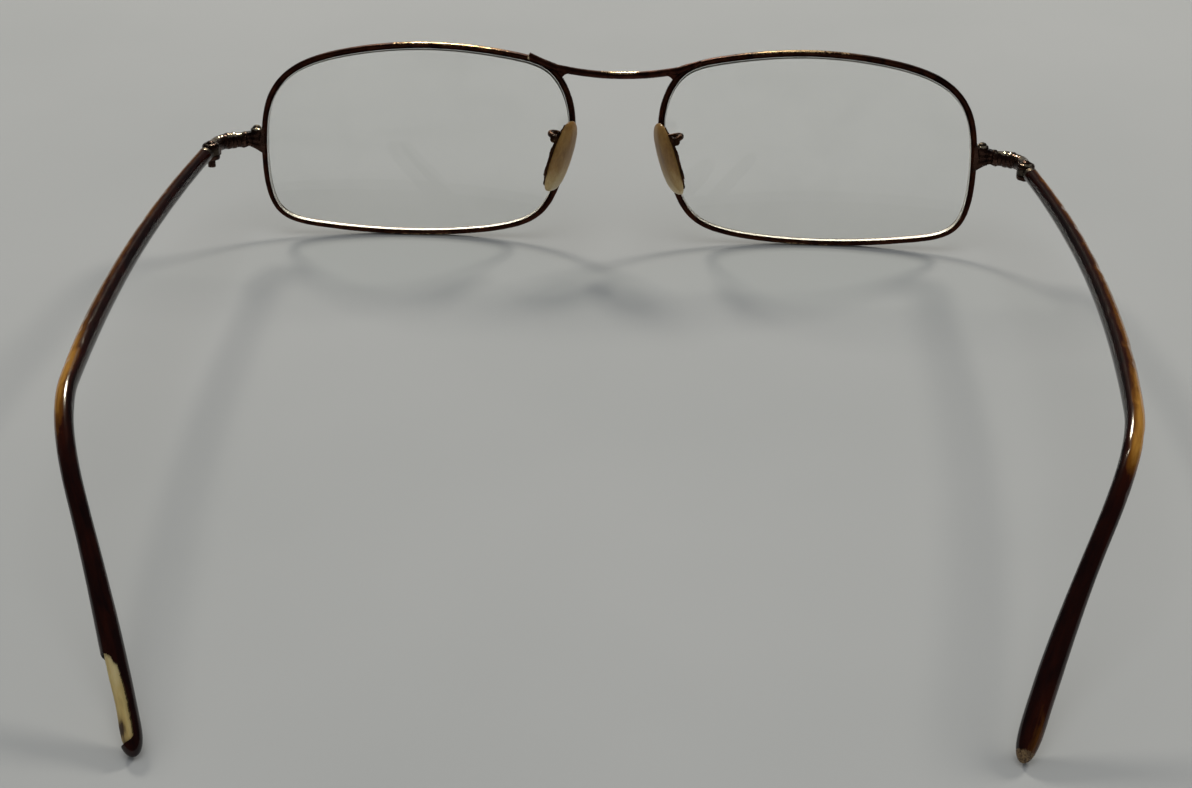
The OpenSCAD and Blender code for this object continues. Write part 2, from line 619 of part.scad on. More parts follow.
left() rim();  // left_rim
right() rim();  // right_rim
left() lens();  // left_lens
right() lens();  // right_lens
right() bridge();
left() endpiece();  // left_endpiece
right() endpiece();  // right_endpiece
left() rim_screw();  // left_rim_screw
right() rim_screw();  // right_rim_screw
left() hinge_screw(left_screw_proud);  // left_hinge_screw
right() hinge_screw(right_screw_proud);  // right_hinge_screw
left() pad_arm();  // left_pad_arm
right() pad_arm();  // right_pad_arm
left() pad_pin();  // left_pad_pin
right() pad_pin();  // right_pad_pin
left() pad_plate();  // left_pad_plate
right() pad_plate();  // right_pad_plate
left() nose_pad();  // left_nose_pad
right() nose_pad();  // right_nose_pad
left() butt(LEFT_TURNS, left_hook_len);  // left_temple_butt
right() butt(RIGHT_TURNS, right_hook_len);  // right_temple_butt
left() core(left_path, LEFT_TURNS, left_hook_len);  // left_temple_core
right() core(right_path, RIGHT_TURNS, right_hook_len);  // right_temple_core
left() liner(left_path, LEFT_TURNS, left_hook_len);  // left_tip_liner
right() liner(right_path, RIGHT_TURNS, right_hook_len);  // right_tip_liner
left() left_temple_cover();
right() cover(right_path, RIGHT_TURNS, right_hook_len);  // right_temple_cover
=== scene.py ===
# %% [markdown]
# # Worn wire eyeglasses with celluloid-covered temples
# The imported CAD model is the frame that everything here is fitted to. Its pieces are the right size,
# but their wires are faceted and their edges are sharp as new. This lesson models each piece that
# shows again, smooth, rubbed and chipped, and leaves the CAD's places and joints alone.

# %% Load the frame
import json
import math
import random

import bpy
from mathutils import Matrix, Vector, noise


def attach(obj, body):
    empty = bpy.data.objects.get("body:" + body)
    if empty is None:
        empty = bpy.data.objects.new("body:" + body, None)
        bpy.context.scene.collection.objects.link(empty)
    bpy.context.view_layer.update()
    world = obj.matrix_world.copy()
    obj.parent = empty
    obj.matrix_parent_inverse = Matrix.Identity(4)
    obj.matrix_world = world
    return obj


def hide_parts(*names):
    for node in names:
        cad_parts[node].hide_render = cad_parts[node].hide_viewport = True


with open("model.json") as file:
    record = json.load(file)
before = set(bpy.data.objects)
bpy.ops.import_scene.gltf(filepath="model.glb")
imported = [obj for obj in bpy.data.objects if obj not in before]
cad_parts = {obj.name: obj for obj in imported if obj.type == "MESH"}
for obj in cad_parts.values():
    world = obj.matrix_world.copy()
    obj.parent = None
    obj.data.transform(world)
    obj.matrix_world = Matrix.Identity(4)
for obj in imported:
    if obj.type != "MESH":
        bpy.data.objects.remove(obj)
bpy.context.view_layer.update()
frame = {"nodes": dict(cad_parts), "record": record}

# %% [markdown]
# ## The wearing frame
# Eyeglasses are easiest to describe as they are worn: X to the side, Y forward and Z up the rims,
# in millimetres, with zero between the lens centres. On the table the pair leans forward. The lean
# and the place come from the two hinge joints, so the pieces made here always land on the CAD.

# %% Find the lean and the place from the hinges
MM = 0.001
joints = {j["name"]: j for j in frame["record"]["behaviour"]["joints"]}
left_hinge, right_hinge = (
    Vector(joints[side + "_temple_fold"]["pos_m"]) / MM for side in ("left", "right")
)
upward = Vector(joints["left_temple_fold"]["axis"])
lean = math.atan2(upward.y, upward.z)
hinge_x = (right_hinge.x - left_hinge.x) / 2
hinge_back = 10.0
stand = (
    Matrix.Translation((left_hinge + right_hinge) / 2)
    @ Matrix.Rotation(-lean, 4, "X")
    @ Matrix.Translation((0, hinge_back, 0))
)
unstand = stand.inverted()
print(f"lean {math.degrees(lean):.2f} degrees, hinges {2 * hinge_x:.1f} mm apart")

# %% Sizes of the front and the temples, in millimetres
lens_w, lens_h, nose_gap, base_curve = 52.6, 32.8, 15.0, 120.0
rim_t, rim_w, groove_d, bevel_t = 1.1, 1.3, 0.35, 0.5
lens_t, back_curve, lens_gap = 1.4, 104.0, 0.05
bridge_d, bridge_z, bridge_left_x, bridge_right_x = 1.25, 11.9, -15.0, 14.0
pad_len, pad_w, pad_t, pad_back, pad_splay, pad_flare = 12.6, 6.4, 1.7, 6.1, 25, 17
shaft_len, ear_bend_len, temple_drop = 87.0, 22.0, 4.4
hook_len = {"left": 33.0, "right": 29.0}
# outward heading, inward bow, inward turn at the ear, downward turn at the ear, outward turn after it
temple_turns = {"left": (5.4, 12.2, 22.4, 37, 4.6), "right": (9.2, 15.4, 27.7, 40.7, 9.3)}
skin_t, butt_len, tip_liner_len = 0.4, 3.6, 22.0
lens_x = (lens_w + nose_gap) / 2
rim_outer_x = lens_x + lens_w / 2
SIDES = {"left": -1, "right": 1}
random.seed(7)
print(f"lens {lens_w} x {lens_h} mm, {nose_gap} mm apart, temple shaft {shaft_len} mm")

# %% [markdown]
# ## Helpers
# An operator works on whatever is selected, so each helper clears the selection first. A wire or
# a tube starts as a flat grid, as a tinsmith starts from a sheet: its columns are rolled round the
# section, its rows run along the piece, and merging the doubled seam closes it. One unit is a
# millimetre while a piece is being shaped, because fine wire is too small for metres.

# %% Selecting, editing and modifiers
def clear_selection():
    if bpy.context.object and bpy.context.object.mode != "OBJECT":
        bpy.ops.object.mode_set(mode="OBJECT")
    bpy.ops.object.select_all(action="DESELECT")


def pick(piece):
    clear_selection()
    piece.select_set(True)
    bpy.context.view_layer.objects.active = piece


def add_modifier(piece, kind, **settings):
    pick(piece)
    bpy.ops.object.modifier_add(type=kind)
    modifier = piece.modifiers[-1]
    for name, value in settings.items():
        setattr(modifier, name, value)
    bpy.ops.object.modifier_apply(modifier=modifier.name)


def close_seams(piece, within=1e-4):
    """Merge doubled points and turn every face outwards."""
    pick(piece)
    bpy.ops.object.mode_set(mode="EDIT")
    bpy.ops.mesh.select_all(action="SELECT")
    bpy.ops.mesh.remove_doubles(threshold=within)
    bpy.ops.mesh.normals_make_consistent(inside=False)
    bpy.ops.object.mode_set(mode="OBJECT")


# %% A sheet rolled into a wire, a tube or a shell
def rolled_sheet(name, around, along, place):
    """place(u, v) gives the point for u round the piece and v along it, both from 0 to 1."""
    clear_selection()
    bpy.ops.mesh.primitive_grid_add(x_subdivisions=around, y_subdivisions=along, size=1)
    piece = bpy.context.object
    piece.name = piece.data.name = name
    for vertex in piece.data.vertices:
        vertex.co = place(vertex.co.x + 0.5, vertex.co.y + 0.5)
    close_seams(piece)
    pick(piece)
    bpy.ops.object.shade_smooth()
    return piece


# %% Painting a value on every point, and joining parts of one piece
def paint(piece, name, rule):
    """rule(point) gives a number, or a vector, for each point of the piece as it is now."""
    values = [rule(v.co.copy()) for v in piece.data.vertices]
    vector = isinstance(values[0], Vector)
    layer = piece.data.attributes.new(name, "FLOAT_VECTOR" if vector else "FLOAT", "POINT")
    for item, value in zip(layer.data, values):
        if vector:
            item.vector = value
        else:
            item.value = value


def join(pieces, name):
    clear_selection()
    for piece in pieces:
        piece.select_set(True)
    bpy.context.view_layer.objects.active = pieces[0]
    bpy.ops.object.join()
    joined = bpy.context.object
    joined.name = joined.data.name = name
    return joined


# %% Standing a piece on the table
def hand_over(piece, side, body, slot, nodes, materials):
    """Stand a piece, made for the right side, in the CAD's frame, mirrored if it goes on the left."""
    for vertex in piece.data.vertices:
        point = vertex.co.copy()
        point.x *= SIDES[side]
        vertex.co = (stand @ point) * MM
    if side == "left":
        pick(piece)
        bpy.ops.object.mode_set(mode="EDIT")
        bpy.ops.mesh.select_all(action="SELECT")
        bpy.ops.mesh.flip_normals()
        bpy.ops.object.mode_set(mode="OBJECT")
    dress(piece, body, slot, nodes, materials)


def dress(piece, body, slot, nodes, materials):
    piece.data.materials.clear()
    for material in materials:
        piece.data.materials.append(material)
    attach(piece, body)
    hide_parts(*nodes)
    print(f"{piece.name}: {len(piece.data.vertices)} points on {body}")


# %% A worn copy of a CAD node
def worn_copy(node, name, voxel, smoothing=4, keep=0.5):
    """Merge a copy of the node's triangles, remesh it finely and smooth it, so that its edges are
    rounded as if rubbed. The place stays as it was. One unit is a millimetre until it is shrunk."""
    clear_selection()
    piece = frame["nodes"][node].copy()
    piece.data = piece.data.copy()
    piece.parent = None
    piece.matrix_world = Matrix.Identity(4)
    piece.name = piece.data.name = name
    bpy.context.collection.objects.link(piece)
    piece.hide_render = False
    for vertex in piece.data.vertices:
        vertex.co = vertex.co / MM
    close_seams(piece, 1e-3)
    add_modifier(piece, "REMESH", mode="VOXEL", voxel_size=voxel, use_smooth_shade=True)
    add_modifier(piece, "SMOOTH", factor=0.5, iterations=smoothing)
    add_modifier(piece, "DECIMATE", ratio=keep)
    return piece


def shrink(piece):
    """From millimetres back to the CAD's metres."""
    for vertex in piece.data.vertices:
        vertex.co = vertex.co * MM
    pick(piece)
    bpy.ops.object.shade_smooth()


# %% Smooth steps and bumps, used to blend sizes and to place wear
def blend(low, high, value):
    t = min(1.0, max(0.0, (value - low) / (high - low)))
    return t * t * (3 - 2 * t)


def hump(value, centre, width):
    return math.exp(-(((value - centre) / width) ** 2))


def lookup(value, table):
    """Read a table of (place, size) with soft corners between its entries."""
    for (a, size_a), (b, size_b) in zip(table, table[1:]):
        if value <= b:
            return size_a + (size_b - size_a) * blend(a, b, value)
    return table[-1][1]


# %% [markdown]
# ## Material building blocks
# Every finish here is procedural: noise for tarnish, dirt and mottling, a colour ramp to turn it
# into colour, and bump for scratches. Short helpers keep each finish readable.

# %% Node helpers
def new_finish(name):
    material = bpy.data.materials.new(name)
    material.use_nodes = True
    return material, material.node_tree, material.node_tree.nodes["Principled BSDF"]


def add_node(tree, kind, inputs=(), **settings):
    made = tree.nodes.new(kind)
    for name, value in settings.items():
        setattr(made, name, value)
    for name, value in dict(inputs).items():
        if isinstance(value, bpy.types.NodeSocket):
            tree.links.new(value, made.inputs[name])
        else:
            made.inputs[name].default_value = value
    return made


def painted(tree, name):
    return add_node(tree, "ShaderNodeAttribute", attribute_name=name)


def grain(tree, where, scale, detail=4.0, stretch=(1, 1, 1), distortion=0.0):
    """Noise from 0 to 1 on the coordinates where, finer with a larger scale."""
    placed = add_node(tree, "ShaderNodeMapping", {"Vector": where, "Scale": stretch})
    return add_node(tree, "ShaderNodeTexNoise", {
        "Vector": placed.outputs[0], "Scale": scale, "Detail": detail, "Distortion": distortion,
    }).outputs["Fac"]


def ramp(tree, value, stops):
    made = add_node(tree, "ShaderNodeValToRGB", {"Fac": value})
    elements = made.color_ramp.elements
    while len(elements) < len(stops):
        elements.new(0.5)
    for element, (place, colour) in zip(elements, stops):
        element.position = place
        element.color = (*colour, 1) if len(colour) == 3 else colour
    return made.outputs["Color"]


def mask(tree, value, low, high):
    made = add_node(tree, "ShaderNodeMapRange", {"Value": value, "From Min": low, "From Max": high})
    return made.outputs["Result"]


def sums(tree, kind, a, b):
    return add_node(tree, "ShaderNodeMath", {0: a, 1: b}, operation=kind).outputs[0]


def swing(tree, value, noisy, amount):
    """The value, moved up and down by noise whose middle is 0.5."""
    centred = sums(tree, "SUBTRACT", noisy, 0.5)
    return sums(tree, "ADD", value, sums(tree, "MULTIPLY", centred, amount))


def mixed(tree, share, a, b):
    made = tree.nodes.new("ShaderNodeMix")
    made.data_type = "RGBA"
    for socket, value in ((made.inputs[0], share), (made.inputs[6], a), (made.inputs[7], b)):
        if isinstance(value, bpy.types.NodeSocket):
            tree.links.new(value, socket)
        else:
            socket.default_value = (*value, 1)
    return made.outputs[2]


def scratched(tree, shader, height, strength, depth_mm):
    made = add_node(tree, "ShaderNodeBump",
                    {"Height": height, "Strength": strength, "Distance": depth_mm * MM})
    tree.links.new(made.outputs[0], shader.inputs["Normal"])


# %% [markdown]
# ## Old gilt metal
# The rims, the bridge and the end pieces are rolled gold on a base metal. Most of the gold is gone
# or tarnished to a dark reddish bronze. It is still bright where a cloth or a finger rubs it, and on
# some upper edges the bright gold is a painted highlight that stands for a lamp's reflection, so the
# finish mixes two metals by a value painted on each piece, broken up by noise.

# %% Gilt finishes, from dark to worn bright
PER_MM = 1000.0


def gilt(name, dark, brown, gold, bright_at, rough_dark=0.36):
    """Gold shows where the painted wear and highlight value, broken up by noise, passes bright_at."""
    material, tree, shader = new_finish(name)
    place = add_node(tree, "ShaderNodeTexCoord").outputs["Object"]
    tarnish = grain(tree, place, 0.5 * PER_MM, detail=6, distortion=0.6)
    specks = grain(tree, place, 3.2 * PER_MM, detail=3)
    base = ramp(tree, tarnish, [(0.32, dark), (0.52, brown), (0.72, [c * 1.7 for c in brown])])
    wear_and_light = swing(tree, painted(tree, "wear_and_light").outputs["Fac"], specks, 0.9)
    wear_and_light = swing(tree, wear_and_light, tarnish, 0.8)
    # gold shows both rubbed gilt and painted highlights, wherever the painted value says so
    bright = mask(tree, wear_and_light, bright_at, bright_at + 0.3)
    tree.links.new(mixed(tree, bright, base, gold), shader.inputs["Base Color"])
    rough = sums(tree, "ADD", sums(tree, "MULTIPLY", bright, -0.16),
                 sums(tree, "ADD", rough_dark, sums(tree, "MULTIPLY", specks, 0.12)))
    tree.links.new(rough, shader.inputs["Roughness"])
    shader.inputs["Metallic"].default_value = 0.9
    pits = sums(tree, "ADD", specks, sums(tree, "MULTIPLY", tarnish, 0.6))
    scratched(tree, shader, pits, 0.35, 0.03)
    return material


rim_gilt = gilt("rim_gilt", (0.014, 0.002, 0.0015), (0.042, 0.011, 0.005),
                (0.84, 0.60, 0.33), 0.56)
bridge_gilt = gilt("bridge_gilt", (0.018, 0.003, 0.002), (0.050, 0.014, 0.008),
                   (0.70, 0.52, 0.32), 0.58)
end_gilt = gilt("end_gilt", (0.012, 0.004, 0.003), (0.046, 0.022, 0.015),
                (0.78, 0.68, 0.52), 0.66, rough_dark=0.22)
pad_gilt = gilt("pad_gilt", (0.014, 0.004, 0.002), (0.050, 0.020, 0.009),
                (0.55, 0.40, 0.20), 0.72)
screw_steel = gilt("screw_steel", (0.020, 0.014, 0.010), (0.075, 0.058, 0.042),
                   (0.60, 0.55, 0.45), 0.62)
print("gilt finishes:", [m.name for m in (rim_gilt, bridge_gilt, end_gilt, pad_gilt, screw_steel)])

# %% [markdown]
# ## Celluloid
# The temple covering is dark amber celluloid, moulded on and polished. Its outward and upper side is
# painted golden brown for the light that falls on it and through it, most at the ear bend, and the
# side towards the head is almost black.
# The mottling runs along the temple. It is driven by the temple's own straight coordinates, which
# are painted on before the tube is bent, so the pattern follows the bend as the real one does.

# %% Amber tortoiseshell covering
def tortoise(name, deep, brown, amber, honey):
    material, tree, shader = new_finish(name)
    along = painted(tree, "straight").outputs["Vector"]
    cloud = grain(tree, along, 0.55, detail=5, stretch=(0.35, 1, 1), distortion=0.8)
    streak = grain(tree, along, 2.6, stretch=(0.12, 1, 1))
    fine = grain(tree, along, 9.0, detail=3, stretch=(0.06, 1, 1))
    # painted light: the painted value makes the lit outward side and the ear bends golden
    lit = swing(tree, painted(tree, "amber").outputs["Fac"], cloud, 0.55)
    lit = swing(tree, lit, streak, 0.35)
    colour = ramp(tree, lit, [(0.0, deep), (0.38, brown), (0.68, amber), (1.0, honey)])
    # this mask also carries painted light: the pale speckle on the outward ridge near the hinge
    rubbed = mask(tree, swing(tree, painted(tree, "wear_and_light").outputs["Fac"], streak, 1.2), 0.5, 0.9)
    speckle = mask(tree, grain(tree, along, 4.5), 0.38, 0.6)
    dull = mixed(tree, speckle, (0.055, 0.026, 0.012), (0.21, 0.135, 0.062))
    colour = mixed(tree, rubbed, colour, dull)
    tree.links.new(colour, shader.inputs["Base Color"])
    rough = sums(tree, "ADD", 0.10, sums(tree, "MULTIPLY", rubbed, 0.40))
    rough = sums(tree, "ADD", rough, sums(tree, "MULTIPLY", fine, 0.10))
    tree.links.new(rough, shader.inputs["Roughness"])
    shader.inputs["IOR"].default_value = 1.5
    shader.inputs["Specular IOR Level"].default_value = 0.32
    scratched(tree, shader, sums(tree, "ADD", fine, streak), 0.22, 0.02)
    return material


# the amber and honey stops show where the painted light is strongest
tortoise_cover = tortoise("tortoise_cover", (0.004, 0.0003, 0.0003), (0.024, 0.0030, 0.0004),
                          (0.135, 0.048, 0.0035), (0.40, 0.19, 0.030))
print("covering finish:", tortoise_cover.name)

# %% Broken edge of the covering, the dry pale layer under it and the nose pads
def dry_layer(name, stops, rough, depth, stretch=(0.18, 1, 1), subsurface=0.0):
    material, tree, shader = new_finish(name)
    along = painted(tree, "straight").outputs["Vector"]
    cloud = grain(tree, along, 0.8, detail=5, stretch=stretch, distortion=0.5)
    fine = grain(tree, along, 5.0, detail=5, stretch=stretch)
    shade = sums(tree, "ADD", sums(tree, "MULTIPLY", cloud, 0.7), sums(tree, "MULTIPLY", fine, 0.3))
    shade = sums(tree, "ADD", shade, painted(tree, "amber").outputs["Fac"])
    tree.links.new(ramp(tree, shade, stops), shader.inputs["Base Color"])
    rough = sums(tree, "ADD", rough, sums(tree, "MULTIPLY", fine, 0.2))
    tree.links.new(rough, shader.inputs["Roughness"])
    shader.inputs["Subsurface Weight"].default_value = subsurface
    shader.inputs["Subsurface Radius"].default_value = (1.0, 0.6, 0.3)
    shader.inputs["Subsurface Scale"].default_value = 0.6 * MM
    scratched(tree, shader, sums(tree, "ADD", cloud, fine), 0.5, depth)
    return material


broken_edge = dry_layer("broken_edge", [(0.3, (0.05, 0.02, 0.008)), (0.7, (0.20, 0.12, 0.05))],
                        0.45, 0.04)
pale_layer = dry_layer("pale_layer", [(0.12, (0.06, 0.03, 0.012)), (0.32, (0.34, 0.24, 0.085)),
                                      (0.55, (0.54, 0.40, 0.15)), (0.85, (0.66, 0.54, 0.27))],
                       0.5, 0.05, subsurface=0.15)
pad_celluloid = dry_layer("pad_celluloid", [(0.2, (0.16, 0.075, 0.016)), (0.5, (0.29, 0.165, 0.046)),
                                            (0.8, (0.45, 0.32, 0.135)), (1.0, (0.62, 0.52, 0.31))],
                          0.22, 0.03, stretch=(1, 1, 0.35), subsurface=0.35)
print("dry and pale finishes:", [m.name for m in (broken_edge, pale_layer, pad_celluloid)])

# %% [markdown]
# ## Lens glass
# Polished glass is perfectly smooth, so its roughness is exactly zero: a rough glass would be lit
# twice by each lamp. A faint film of finger grease only dulls it in patches. The ground edge is
# matt and grey-green. Lamps reach what is behind the glass through a clear shader, because real
# glass hardly darkens its shadow. Shadow rays see that shader, and so do the rays that a matt
# surface scatters: through the glass they would find the same lamps again and count them twice.

# %% Clear glass and its ground edge
def clear_for_lamps(tree, shader, tint):
    rays = add_node(tree, "ShaderNodeLightPath").outputs
    clear = add_node(tree, "ShaderNodeBsdfTransparent", {"Color": (*tint, 1)}).outputs[0]
    seen = shader.outputs[0]
    for ray in ("Is Diffuse Ray", "Is Shadow Ray"):
        seen = add_node(tree, "ShaderNodeMixShader", {0: rays[ray], 1: seen, 2: clear}).outputs[0]
    tree.links.new(seen, tree.nodes["Material Output"].inputs["Surface"])


def glass(name, tint, dulled, roughness, lamp_tint):
    """dulled is the share of light that the film or the grinding marks leave."""
    material, tree, shader = new_finish(name)
    place = add_node(tree, "ShaderNodeTexCoord").outputs["Object"]
    film = grain(tree, place, 0.09 * PER_MM, stretch=(1, 1, 1.6), distortion=0.7)
    dust = grain(tree, place, 1.4 * PER_MM, detail=5)
    smear = mask(tree, sums(tree, "ADD", film, sums(tree, "MULTIPLY", dust, 0.3)), 0.6, 0.9)
    tree.links.new(mixed(tree, smear, tint, [c * dulled for c in tint]), shader.inputs["Base Color"])
    shader.inputs["Roughness"].default_value = roughness
    shader.inputs["Transmission Weight"].default_value = 1.0
    shader.inputs["IOR"].default_value = 1.5
    clear_for_lamps(tree, shader, lamp_tint)
    return material


lens_glass = glass("lens_glass", (0.985, 0.992, 0.985), dulled=0.97, roughness=0.0,
                   lamp_tint=(0.93, 0.94, 0.93))
ground_edge = glass("ground_edge", (0.20, 0.19, 0.14), dulled=0.8, roughness=0.45,
                    lamp_tint=(0.6, 0.6, 0.57))
print("glass finishes:", lens_glass.name, ground_edge.name)

# %% [markdown]
# ## The rims
# Each rim is one grooved wire bent to the lens's outline: a soft rectangle with a straighter top
# and a narrower inner end. The outline is a closed B-spline through a few points, the same as the
# CAD's. The sheet's rows follow it, its columns go round the wire's section, and both seams merge.

# %% Lens outline
OUTLINE = [
    (26.5, 0), (25.5, 8), (20.5, 13.5), (9.5, 16), (-3.5, 17), (-17.5, 15.5), (-24, 14),
    (-27.5, 4.5), (-24, -6), (-21, -13.5), (-8.5, -16), (5, -16.5), (18, -15), (26, -13),
]


def raw_outline(turn):
    spot = (turn % 1.0) * len(OUTLINE)
    k, f = int(spot), spot - int(spot)
    weights = ((1 - f) ** 3, 3 * f**3 - 6 * f * f + 4, -3 * f**3 + 3 * f * f + 3 * f + 1, f**3)
    near = [OUTLINE[(k + j - 1) % len(OUTLINE)] for j in range(4)]
    return [sum(w * p[axis] for w, p in zip(weights, near)) / 6 for axis in (0, 1)]


OUTLINE_STEPS = 720
samples = [raw_outline(k / OUTLINE_STEPS) for k in range(OUTLINE_STEPS)]
raw_low = [min(p[axis] for p in samples) for axis in (0, 1)]
raw_high = [max(p[axis] for p in samples) for axis in (0, 1)]


def outline(turn, grow=0.0):
    """A point on the wire's centre line, or grow millimetres outside it: outward and up."""
    def at(t):
        raw = raw_outline(t)
        share = [(raw[k] - raw_low[k]) / (raw_high[k] - raw_low[k]) - 0.5 for k in (0, 1)]
        return Vector((share[0] * lens_w, share[1] * lens_h))
    tangent = (at(turn + 0.002) - at(turn - 0.002)).normalized()
    return at(turn) + grow * Vector((tangent.y, -tangent.x))


def dish(x, z, radius=base_curve):
    return math.sqrt(radius * radius - x * x - z * z) - radius


print("outline goes from", outline(0.0), "over", outline(0.25), "to", outline(0.5))

# %% Rim wire
SQUARED = 0.7        # power that squares the wire's round section
GROOVE_ROOM = 0.08   # how much wider the groove is than the bevel, on each side
UNEVEN = 0.035       # share by which the old wire's thickness wanders


def rim_section(angle):
    """Outward and forward from the wire's centre line: a soft rectangle with the lens groove."""
    c, s = math.cos(angle), math.sin(angle)
    out = rim_t / 2 * math.copysign(abs(c) ** SQUARED, c)
    fore = rim_w / 2 * math.copysign(abs(s) ** SQUARED, s)
    if c < 0 and abs(fore) < bevel_t / 2 + GROOVE_ROOM:
        out += groove_d
    return out, fore


def rim_point(u, v):
    out, fore = rim_section(2 * math.pi * u)
    rough = 1 + UNEVEN * noise.noise(Vector((outline(v).x * 0.6, outline(v).y * 0.6, 8 * u)))
    spot = outline(v, out * rough)
    return Vector((lens_x + spot.x, dish(spot.x, spot.y) + fore * rough, spot.y))


# the height of the wire's middle at its top and at its foot, for every half millimetre across
crown, sill = {}, {}
for spot in (outline(k / OUTLINE_STEPS) for k in range(OUTLINE_STEPS)):
    column = round(2 * spot.x)
    crown[column] = max(crown.get(column, 0.0), spot.y)
    sill[column] = min(sill.get(column, 0.0), spot.y)


def rim_wear_and_highlight(point):
    """Bright along the top's outer edge, partly rubbed and partly a painted highlight of a lamp's
    reflection, and rubbed where a cloth reaches at the bottom's middle and beside the pads. The wire's
    own middle is looked up, so that the bright line follows its curve."""
    x, z = point.x - lens_x, point.z
    column = min(max(crown), max(min(crown), round(2 * x)))
    # painted highlight: bright gold along the top's outer edge, where a lamp reflects
    top = 0.95 * hump(x, -5, 13) * blend(-0.05, 0.45, z - crown[column])
    foot = 0.72 * hump(x, 0, 11) * blend(0.15, -0.35, z - sill[column])
    inner = 0.55 * blend(-20, -26, x) * hump(z, -5, 7) * blend(0.2, -0.6, point.y - dish(x, z))
    return 0.72 * max(top, foot, inner) + 0.10


for side in SIDES:
    rim = rolled_sheet(side + "_rim_wire", around=32, along=288, place=rim_point)
    paint(rim, "wear_and_light", rim_wear_and_highlight)
    hand_over(rim, side, "front", "rim_wire", [side + "_rim"], [rim_gilt])

# %% [markdown]
# ## The lenses
# A lens is a shell of glass between two spheres. Its sheet starts at the middle of the front, runs
# out to the bevel that sits in the rim's groove, over the ground edge and back to the middle of
# the hollow side. The faces of the edge get the matt finish.

# %% Lens shell
def lens_front(x, z):
    return dish(x, z) + bevel_t / 2


def lens_back(x, z):
    return bevel_t / 2 - lens_t + dish(x, z, back_curve)


seat = -rim_t / 2 - lens_gap
FACE_RINGS, LENS_COLUMNS = 14, 168
EDGE_FACING = 0.6   # faces that look less than this far forward or back belong to the ground edge
lens_rings = (
    [("front", k / FACE_RINGS, seat + groove_d) for k in range(FACE_RINGS + 1)]
    + [("ridge", 1, seat + groove_d), ("ridge", 1, seat)]
    + [("back", k / FACE_RINGS, seat) for k in range(FACE_RINGS, -1, -1)]
)


def lens_point(u, v):
    kind, share, grow = lens_rings[round(v * (len(lens_rings) - 1))]
    spot = outline(u, grow) * share
    depth = {"front": lens_front, "back": lens_back,
             "ridge": lambda x, z: dish(x, z) - bevel_t / 2}[kind](spot.x, spot.y)
    return Vector((lens_x + spot.x, depth, spot.y))


for side in SIDES:
    lens = rolled_sheet(side + "_lens_glass", around=LENS_COLUMNS, along=len(lens_rings) - 1,
                        place=lens_point)
    edge = [f.index for f in lens.data.polygons if abs(f.normal.y) < EDGE_FACING]
    pick(lens)
    bpy.ops.object.shade_smooth_by_angle(angle=math.radians(30))
    hand_over(lens, side, "front", "lens_glass", [side + "_lens"], [lens_glass, ground_edge])
    for index in edge:
        lens.data.polygons[index].material_index = 1

# %% [markdown]
# ## The bridge
# One wire sags between the rims and is soldered to the backs of their upper corners. Its left end
# is cut blunt, and the right end is filed down into the rim. A hollow-edged web of solder fills
# each crotch. The wire and the webs are joined, remeshed finely and smoothed, so that the solder
# flows into the wire.

# %% Bridge wire
bridge_end_z = lens_h / 2 - 0.87
bridge_seat_x = nose_gap / 2 + 2.6
bridge_arch, bridge_behind = 2.0, 0.8
filed_len, filed_share = 2.6, 0.45   # the right end is filed down over its last stretch


def bridge_line(x):
    """The wire's centre: it rises with the square of x, and moves back behind the rims."""
    far = (x / bridge_left_x) ** 2
    z = bridge_z + (bridge_end_z - bridge_z) * far
    arch = bridge_arch * (1 - min(1, abs(x) / bridge_seat_x) ** 2)
    return Vector((x, dish(lens_x - max(abs(x), bridge_seat_x), z) + arch - bridge_behind * far, z))


def bridge_point(u, v):
    x = bridge_left_x + (bridge_right_x - bridge_left_x) * v
    centre, ahead = bridge_line(x), bridge_line(x + 0.05) - bridge_line(x - 0.05)
    slope = math.atan2(ahead.z, ahead.x)
    filed = 1 - filed_share * blend(bridge_right_x - filed_len, bridge_right_x, x)
    radius = 0 if v in (0, 1) else bridge_d / 2 * filed * (1 + 0.05 * noise.noise(centre * 0.9))
    angle = 2 * math.pi * u
    return centre + radius * Vector((-math.sin(slope) * math.sin(angle), math.cos(angle),
                                     math.cos(slope) * math.sin(angle)))


# %% Solder webs
# a web's corners, sideways and up from the place on the wire above the crotch
WEB = [(-1.1, -0.5), (-0.3, -0.85), (0.1, -1.25), (0.25, -1.8), (0.6, -1.7), (1.5, -0.2), (0, 0)]
web_share = 0.7   # of the rim wire's depth


def solder_web(toward):
    crotch = bridge_line(nose_gap / 2 + 1.6)
    clear_selection()
    bpy.ops.mesh.primitive_circle_add(vertices=len(WEB), radius=1, fill_type="NGON")
    web = bpy.context.object
    for vertex, (x, z) in zip(web.data.vertices, WEB):
        vertex.co = (toward * (crotch.x + x), crotch.y + rim_w * web_share / 2, crotch.z + z)
    pick(web)
    bpy.ops.object.mode_set(mode="EDIT")
    bpy.ops.mesh.select_all(action="SELECT")
    backwards = (0, -rim_w * web_share, 0)
    bpy.ops.mesh.extrude_region_move(TRANSFORM_OT_translate={"value": backwards})
    bpy.ops.mesh.select_all(action="SELECT")
    bpy.ops.mesh.normals_make_consistent(inside=False)
    bpy.ops.object.mode_set(mode="OBJECT")
    return web


bare_wire = rolled_sheet("bridge_wire", around=24, along=200, place=bridge_point)
bridge = join([bare_wire, solder_web(-1), solder_web(1)], "bridge_wire")
add_modifier(bridge, "REMESH", mode="VOXEL", voxel_size=0.07, use_smooth_shade=True)
add_modifier(bridge, "SMOOTH", factor=0.5, iterations=5)


